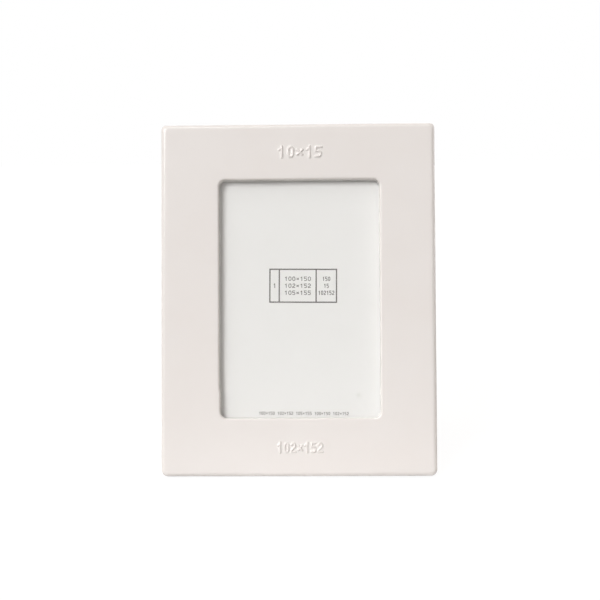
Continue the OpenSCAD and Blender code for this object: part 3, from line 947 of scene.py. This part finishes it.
# %% The screw and the rivets, drawn in millimetres about their own axis
SCREW_R = 1.5
SCREW_L = 6.4
SCREW_HEAD_R = 2.8
SCREW_HEAD_H = 1.6
THREAD_PITCH = 0.75
THREAD_DEPTH = 0.3
RECESS_W = 0.75
RECESS_L = 3
RIVET_R = 1.4
RIVET_HEAD_R = 2.4
RIVET_HEAD_H = 0.9
RIVET_TAIL_R = 2
RIVET_TAIL_H = 0.8
LEAF_T = 0.8
STRUT_T = 3
ROUNDED = 0.05
DOME_STEPS = 8


def dome(radius, height, base):
    """Profile of a low dome, from its rim to just beside its crown."""
    crown_r = (radius ** 2 + height ** 2) / (2 * height)
    rim = math.asin(radius / crown_r)
    angles = [rim * (1 - i / DOME_STEPS) for i in range(DOME_STEPS)] + [rim / DOME_STEPS / 8]
    return [(crown_r * math.sin(a), base + height - crown_r * (1 - math.cos(a))) for a in angles]


def screw_shell():
    """A pointed screw with a ringed thread, a plain neck and a domed head."""
    core = SCREW_R - THREAD_DEPTH
    profile = [(SCREW_R / 4, -SCREW_L), (core, SCREW_R - SCREW_L)]
    turns = int((SCREW_L - 2 * SCREW_R) / THREAD_PITCH)
    for i in range(turns):
        start = SCREW_R - SCREW_L + i * THREAD_PITCH
        profile += [(SCREW_R, start + THREAD_PITCH / 2), (core, start + THREAD_PITCH)]
    return turned(profile + [(SCREW_R, -SCREW_R), (SCREW_R, 0)] + dome(SCREW_HEAD_R, SCREW_HEAD_H, 0))


def recess_shell():
    """A cross, a little narrower at its foot, that is pressed into the head."""
    half_w, half_l = RECESS_W / 2, RECESS_L / 2
    arm = [(half_w, half_l), (half_w, half_w), (half_l, half_w)]
    cross = []
    for quarter_turn in range(4):
        a, b = [(1, 0), (0, 1), (-1, 0), (0, -1)][quarter_turn]
        cross += [(x * a - z * b, x * b + z * a) for x, z in reversed(arm)]
    levels = [(0.75, SCREW_HEAD_H / 2), (1, SCREW_HEAD_H), (1, SCREW_HEAD_H + RECESS_W)]
    return loft([[(a * share, depth, b * share) for a, b in cross] for share, depth in levels], capped=True)


def rivet_shell(grip):
    """A rivet through so much board and steel, with its tail spread and its head domed."""
    profile = [(RIVET_TAIL_R - ROUNDED, ROUNDED), (RIVET_TAIL_R, 2 * ROUNDED),
               (RIVET_TAIL_R, RIVET_TAIL_H), (RIVET_R, RIVET_TAIL_H + ROUNDED), (RIVET_R, grip)]
    return turned(profile + dome(RIVET_HEAD_R, RIVET_HEAD_H, grip))


screw_steel = make_metal("screw_steel", STEEL, STEEL_DULL, 0.30, (1.0, 1.0, 1.0))
rivet_steel = make_metal("rivet_steel", STEEL, STEEL_DULL, 0.38, (1.0, 1.0, 1.0))
screw = finish_mesh("screw", screw_shell(), screw_steel)
carve(screw, finish_mesh("recess", recess_shell()))
board_rivet = finish_mesh("board_rivet", rivet_shell(BOARD_T + LEAF_T), rivet_steel)
strut_rivet = finish_mesh("strut_rivet", rivet_shell(STRUT_T + LEAF_T), rivet_steel)
fasteners = (screw, board_rivet, strut_rivet)
for fastener in fasteners:
    fastener.data.transform(Matrix.Scale(MM, 4))

# %% A node tree that puts a fastener on every point
def make_fastening():
    """The tree, with the fastener, its axis, its seed and its finish as inputs."""
    tree = bpy.data.node_groups.new("fastening", "GeometryNodeTree")
    for label, kind in {"Points": "Geometry", "Fastener": "Object", "Axis": "Vector", "Seed": "Int",
                        "Finish": "Material"}.items():
        tree.interface.new_socket(label, in_out="INPUT", socket_type="NodeSocket" + kind)
    tree.interface.new_socket("Geometry", in_out="OUTPUT", socket_type="NodeSocketGeometry")
    given = tree.nodes.new("NodeGroupInput").outputs
    out = tree.nodes.new("NodeGroupOutput").inputs
    shape = add(tree, "GeometryNodeObjectInfo", {"Object": given["Fastener"]}).outputs["Geometry"]
    along = add(tree, "FunctionNodeAlignRotationToVector", {"Vector": given["Axis"]}, axis="Y").outputs[0]
    chance = add(tree, "FunctionNodeRandomValue", {"Seed": given["Seed"]}, data_type="FLOAT")
    angle = maths(tree, "MULTIPLY", chance.outputs[1], 2 * math.pi)
    turn = add(tree, "FunctionNodeAxisAngleToRotation", {"Axis": (0, 1, 0), "Angle": angle}).outputs[0]
    facing = add(tree, "FunctionNodeRotateRotation", {"Rotation": along, "Rotate By": turn},
                 rotation_space="LOCAL").outputs[0]
    copies = add(tree, "GeometryNodeInstanceOnPoints",
                 {"Points": given["Points"], "Instance": shape, "Rotation": facing}).outputs[0]
    solid = add(tree, "GeometryNodeRealizeInstances", {"Geometry": copies}).outputs[0]
    finished = add(tree, "GeometryNodeSetMaterial", {"Geometry": solid, "Material": given["Finish"]})
    tree.links.new(finished.outputs[0], out["Geometry"])
    return tree


FASTENING = make_fastening()


def set_input(modifier, label, value):
    """Sets an input of a node tree on a modifier, by the name that the tree gives it."""
    sockets = modifier.node_group.interface.items_tree
    socket = next(s for s in sockets if s.item_type == "SOCKET" and s.in_out == "INPUT" and s.name == label)
    modifier[socket.identifier] = value


def fasten(name, points, fastener, axis, seed, body, slot, node):
    """Copies of a fastener on points, as one plain mesh in the place of a piece of the model."""
    mesh = bpy.data.meshes.new(name)
    mesh.from_pydata(points, [], [])
    piece = new_object(name, mesh)
    modifier = piece.modifiers.new("fastening", "NODES")
    modifier.node_group = FASTENING
    finish = fastener.data.materials[0]
    for label, value in {"Fastener": fastener, "Axis": axis, "Seed": seed, "Finish": finish}.items():
        set_input(modifier, label, value)
    read_back(piece)
    piece.data.set_sharp_from_angle(angle=SHARP)
    stands_for(piece, body, slot, node)
    print(name, len(points), "copies,", len(piece.data.polygons), "faces")


# %% Put the screws and rivets in
RIVET_OUT = 8
RIVET_FROM_PIN = 10
STRUT_OPEN = math.radians(24)
KNUCKLE_R = 2
STRUT_NEAR = KNUCKLE_R - LEAF_T - STRUT_T
pin_at = Vector(joints["strut_fold"]["pos_m"])
strut_back = BACK * math.cos(STRUT_OPEN) + UP * math.sin(STRUT_OPEN)
strut_up = UP * math.cos(STRUT_OPEN) - BACK * math.sin(STRUT_OPEN)
pin_right, pin_up, _ = on_frame(pin_at)

screw_points = [place(*on_frame(pivot)[:2], SCREW_DEPTH) for pivot in PIVOTS.values()]
board_points = []
strut_points = []
for out in (-RIVET_OUT, RIVET_OUT):
    board_points.append(place(pin_right + out, pin_up + RIVET_FROM_PIN, BOARD_DEPTH))
    strut_points.append(pin_at + (RIGHT * out - strut_up * RIVET_FROM_PIN + strut_back * STRUT_NEAR) * MM)
fasten("screws", screw_points, screw, BACK, 4, "frame", "screw_steel", "turn_button_screws")
fasten("board_rivets", board_points, board_rivet, BACK, 2, "frame", "rivet_steel", "hinge_board_rivets")
fasten("strut_rivets", strut_points, strut_rivet, strut_back, 5, "strut", "rivet_steel",
       "hinge_strut_rivets")
for fastener in fasteners:
    bpy.data.objects.remove(fastener)

# %% [markdown]
# Washers and plugs are turned or moulded pieces that the model already has in full. They keep the
# model's mesh and only get a finish: grey vulcanised fibre for the washers, milky nylon for the
# plugs, which have no shine to speak of.

# %% Washers and plugs
FIBRE = (0.42, 0.40, 0.36, 1)
FIBRE_DARK = (0.30, 0.28, 0.25, 1)
NYLON = (0.80, 0.78, 0.72, 1)
NYLON_DULL = (0.72, 0.70, 0.64, 1)


def make_plain(name, tone, other, scale, rough):
    """A plain, slightly uneven material."""
    material, tree, shader, coords = new_material(name, IOR=1.45)
    patches = use(tree, MOTTLE, Vector=coords, Tone=tone, Other_Tone=other, Scale=scale, Amount=0.8)
    tree.links.new(patches["Color"], shader.inputs["Base Color"])
    tree.links.new(ranged(tree, patches["Mask"], 0.0, 1.0, rough - 0.06, rough + 0.06),
                   shader.inputs["Roughness"])
    return material


fibre = make_plain("washer_fibre", FIBRE, FIBRE_DARK, 500.0, 0.7)
nylon = make_plain("plug_nylon", NYLON, NYLON_DULL, 200.0, 0.5)
frame["nodes"]["turn_button_washers"].data.materials[0] = fibre
frame["nodes"]["anchor_plugs"].data.materials[0] = nylon
print("finishes", fibre.name, nylon.name)

# %% [markdown]
# The card that comes in a new frame is printed with the sizes of picture that fit. Here it has a ruled
# box of three cells, and a small row of sizes along its foot, all in plain figures. The ink is a layer
# of real thickness on the face of the card. Its strokes are lofted along their middle lines.

# %% Strokes of ink
INK_T = 0.03
PRINT_TILT = math.radians(-0.5)
ink = make_plain("ink", INK, INK, 100.0, 0.6)


def beside(line, closed, off):
    """Points beside a line at a distance, mitred at its corners."""
    count = len(line)
    points = []
    for i, point in enumerate(line):
        before = (point - line[i - 1]) if i or closed else (line[1] - point)
        after = (line[(i + 1) % count] - point) if i < count - 1 or closed else before
        first = Vector((-before.y, before.x)).normalized()
        second = Vector((-after.y, after.x)).normalized()
        points.append(point + (first + second) * off / (1 + first.dot(second)))
    return points


def stroke(shell, line, width):
    """Lofts a flat stroke of ink along a line of pairs, closed where the line ends at its start."""
    points = [Vector(p) for p in line]
    closed = points[0] == points[-1]
    if closed:
        points.pop()
    left, right = beside(points, closed, width / 2), beside(points, closed, -width / 2)
    rings = []
    for a, b in zip(left, right):
        rings.append([(a.x, -INK_T, a.y), (b.x, -INK_T, b.y), (b.x, 0, b.y), (a.x, 0, a.y)])
    loft(rings, capped=not closed, shell=shell)


def write(shell, figures, size, pitch, width, right, up=0):
    """Strokes of a row of figures about a point. Size is the width and height of one figure."""
    for line in figure_lines(figures, *size, pitch, right, up):
        stroke(shell, line, width)


def print_piece(name, shell, right, up):
    """Lays a print on the card, about a point, with the slight tilt that the print has."""
    shell.transform(to_frame(place(right, up, CARD_DEPTH)) @ Matrix.Rotation(-PRINT_TILT, 4, "Y"))
    piece = finish_mesh(name, shell, ink)
    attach(piece, "frame")


# %% The box and the row of sizes
SIZES = [
    [ONE, ZERO, ZERO, TIMES, ONE, FIVE, ZERO],
    [ONE, ZERO, TWO, TIMES, ONE, FIVE, TWO],
    [ONE, ZERO, FIVE, TIMES, ONE, FIVE, FIVE],
]
SHORT = [[ONE, FIVE, ZERO], [ONE, FIVE], [ONE, ZERO, TWO, ONE, FIVE, TWO]]
BOX_W = 41.9
BOX_H = 20.7
BOX_RIGHT = 2.1
BOX_UP = 8.2
FIRST_CELL = 5.9
LAST_CELL = 12.8
LINE_STEP = 4.4
RULE = 0.8
LETTERING = 0.42
FIRST_FIGURE = (1.1, 2.6)
WIDE_FIGURE = (1.45, 2.3)
WIDE_PITCH = 2.45
NARROW_FIGURE = (1.0, 2.3)
NARROW_PITCH = 1.75
ROW_RIGHT = 2.1
ROW_UP = -71.9
ROW_GROUPS = 5
ROW_FIGURE = (0.85, 1.7)
ROW_PITCH = 1.45
ROW_LETTERING = 0.3


def print_box():
    """A ruled box: a figure in its first cell, three lines of figures in each of the others."""
    shell = bmesh.new()
    x, z = BOX_W / 2, BOX_H / 2
    stroke(shell, [(x, z), (-x, z), (-x, -z), (x, -z), (x, z)], RULE)
    for wall in (FIRST_CELL - x, x - LAST_CELL):
        stroke(shell, [(wall, -z), (wall, z)], RULE)
    write(shell, [ONE], FIRST_FIGURE, 0, LETTERING, FIRST_CELL / 2 - x)
    for i in range(3):
        up = (1 - i) * LINE_STEP
        write(shell, SIZES[i], WIDE_FIGURE, WIDE_PITCH, LETTERING, (FIRST_CELL - LAST_CELL) / 2, up)
        write(shell, SHORT[i], NARROW_FIGURE, NARROW_PITCH, LETTERING, x - LAST_CELL / 2, up)
    return shell


def print_row():
    """The sizes again and again in small, with a gap after each."""
    shell = bmesh.new()
    row = []
    for i in range(ROW_GROUPS):
        row += SIZES[i % len(SIZES)] + [[]]
    write(shell, row[:-1], ROW_FIGURE, ROW_PITCH, ROW_LETTERING, 0)
    return shell


print_piece("printed_box", print_box(), BOX_RIGHT, BOX_UP)
print_piece("printed_row", print_row(), ROW_RIGHT, ROW_UP)

# %% [markdown]
# The studio: a key lamp up to the left, two weak lamps that brighten the right and bottom walls of the
# opening, a rim lamp behind the right edge, and a dim room. Together they light a surface that faces the
# camera about as brightly as its colour is written. The frame stands on a white sheet on a darker table,
# before a bright backdrop. The camera sees all of these as white, with a faint shadow under the frame.

# %% Floor and light
FLOOR_HALF = 3
FLOOR_WHITE = 0.92
FLOOR_SHADE = (0.12, 0.12, 0.12, 1)
LAMP_AWAY = 12
LAMPS = {
    "key": {"towards": (-0.54, 0.42, 1), "spread": 13, "strength": 0.67},
    "left": {"towards": (-1.6, 0.7, 1), "spread": 10, "strength": 0.10},
    "top": {"towards": (-0.3, 1.6, 1), "spread": 10, "strength": 0.14},
    "rim": {"towards": (1, 0.1, -0.5), "spread": 25, "strength": 0.45},
}
BACKDROP_SIDE = (0, 1, -0.45)
BACKDROP_EDGE = (0.0, 0.3)
FRONT_GREY = 0.30
BACK_GREY = 1.4
ROOM_TONE = (1, 0.92, 0.83, 1)
SHEET_EDGE = (0.03, 0.25)
SHEET_GREY = 0.80
TABLE_GREY = 0.26


def white_where_seen(tree, plain, seen):
    """One shader for the rays that light the scene, another for what the eye, metal and glass see."""
    rays = add(tree, "ShaderNodeLightPath").outputs
    eye = maths(tree, "MAXIMUM", rays["Is Camera Ray"], rays["Is Glossy Ray"])
    eye = maths(tree, "MAXIMUM", eye, rays["Is Transmission Ray"])
    return blend_shaders(tree, eye, plain, seen)


def make_floor():
    """A white sheet on a darker table, which the camera sees as white with a faint shadow."""
    mesh = bpy.data.meshes.new("floor")
    corners = [(x * FLOOR_HALF, y * FLOOR_HALF, 0) for x, y in ((-1, -1), (1, -1), (1, 1), (-1, 1))]
    mesh.from_pydata(corners, [], [(0, 1, 2, 3)])
    floor = new_object("floor", mesh)
    material, tree, shader, coords = new_material("floor", Roughness=1.0, Specular_IOR_Level=0)
    far = add(tree, "ShaderNodeVectorMath", {0: coords}, operation="LENGTH").outputs["Value"]
    tree.links.new(ranged(tree, far, *SHEET_EDGE, SHEET_GREY, TABLE_GREY), shader.inputs["Base Color"])
    shaded = add(tree, "ShaderNodeBsdfDiffuse", {"Color": FLOOR_SHADE}).outputs[0]
    glow = add(tree, "ShaderNodeEmission", {"Color": (1, 1, 1, 1), "Strength": FLOOR_WHITE}).outputs[0]
    seen = tree.nodes.new("ShaderNodeAddShader")
    tree.links.new(shaded, seen.inputs[0])
    tree.links.new(glow, seen.inputs[1])
    tree.links.new(white_where_seen(tree, shader.outputs[0], seen.outputs[0]),
                   tree.nodes["Material Output"].inputs["Surface"])
    mesh.materials.append(material)


def make_world():
    """A dim room in front of the frame, and the pale backdrop behind it that the floor runs up to."""
    world = bpy.data.worlds.new("studio")
    world.use_nodes = True
    tree = world.node_tree
    plain = tree.nodes["Background"]
    facing = add(tree, "ShaderNodeTexCoord").outputs["Generated"]
    behind = add(tree, "ShaderNodeVectorMath", {0: facing, 1: BACKDROP_SIDE},
                 operation="DOT_PRODUCT").outputs["Value"]
    grey = ranged(tree, behind, *BACKDROP_EDGE, FRONT_GREY, BACK_GREY)
    tree.links.new(grey, plain.inputs["Strength"])
    plain.inputs["Color"].default_value = ROOM_TONE
    seen = add(tree, "ShaderNodeBackground", {"Color": (1, 1, 1, 1), "Strength": 1.0})
    tree.links.new(white_where_seen(tree, plain.outputs[0], seen.outputs[0]),
                   tree.nodes["World Output"].inputs["Surface"])
    bpy.context.scene.world = world


def make_lamp(name, towards, spread, strength):
    """A round soft lamp that stands to the right, up and to the front by the numbers given. Its strength
    is the share of full light that it gives a surface facing it."""
    right, up, front = towards
    aim = (RIGHT * right + UP * up - BACK * front).normalized()
    data = bpy.data.lights.new(name, "AREA")
    data.shape = "DISK"
    data.size = 2 * LAMP_AWAY * math.tan(math.radians(spread))
    data.energy = strength * math.pi ** 2 * LAMP_AWAY ** 2
    lamp = new_object(name, data)
    turn = aim.to_track_quat("Z", "Y").to_matrix().to_4x4()
    lamp.matrix_world = Matrix.Translation(MIDDLE + aim * LAMP_AWAY) @ turn


make_floor()
make_world()
for name, settings in LAMPS.items():
    make_lamp(name, **settings)

# %% [markdown]
# The camera stands where the photograph was taken from: nearly square to the frame, a little above it
# and a hair to its right, and rolled by half a degree. It looks at a point near the middle of the frame.

# %% Camera
CAMERA_TURN = math.radians(1.69)
CAMERA_LIFT = math.radians(9.78)
CAMERA_ROLL = math.radians(-0.63)
CAMERA_AWAY = 0.8
CAMERA_LENS = 76.93
SENSOR_W = 36
LOOK_AT = Vector((0.00115, 0.010564, 0.109276))


def make_camera():
    """A camera that is turned, lifted and rolled about the point that it looks at."""
    flat = math.cos(CAMERA_LIFT)
    back = Vector((math.sin(CAMERA_TURN) * flat, -math.cos(CAMERA_TURN) * flat, math.sin(CAMERA_LIFT)))
    right = Vector((0, 0, 1)).cross(back).normalized()
    turn = Matrix.Rotation(CAMERA_ROLL, 3, back)
    right = turn @ right
    axes = Matrix((right, back.cross(right), back)).transposed().to_4x4()
    data = bpy.data.cameras.new("camera")
    data.lens = CAMERA_LENS
    data.sensor_width = SENSOR_W
    camera = new_object("camera", data)
    camera.matrix_world = Matrix.Translation(LOOK_AT + back * CAMERA_AWAY) @ axes
    bpy.context.scene.camera = camera


make_camera()
bpy.context.scene.view_settings.view_transform = "Standard"
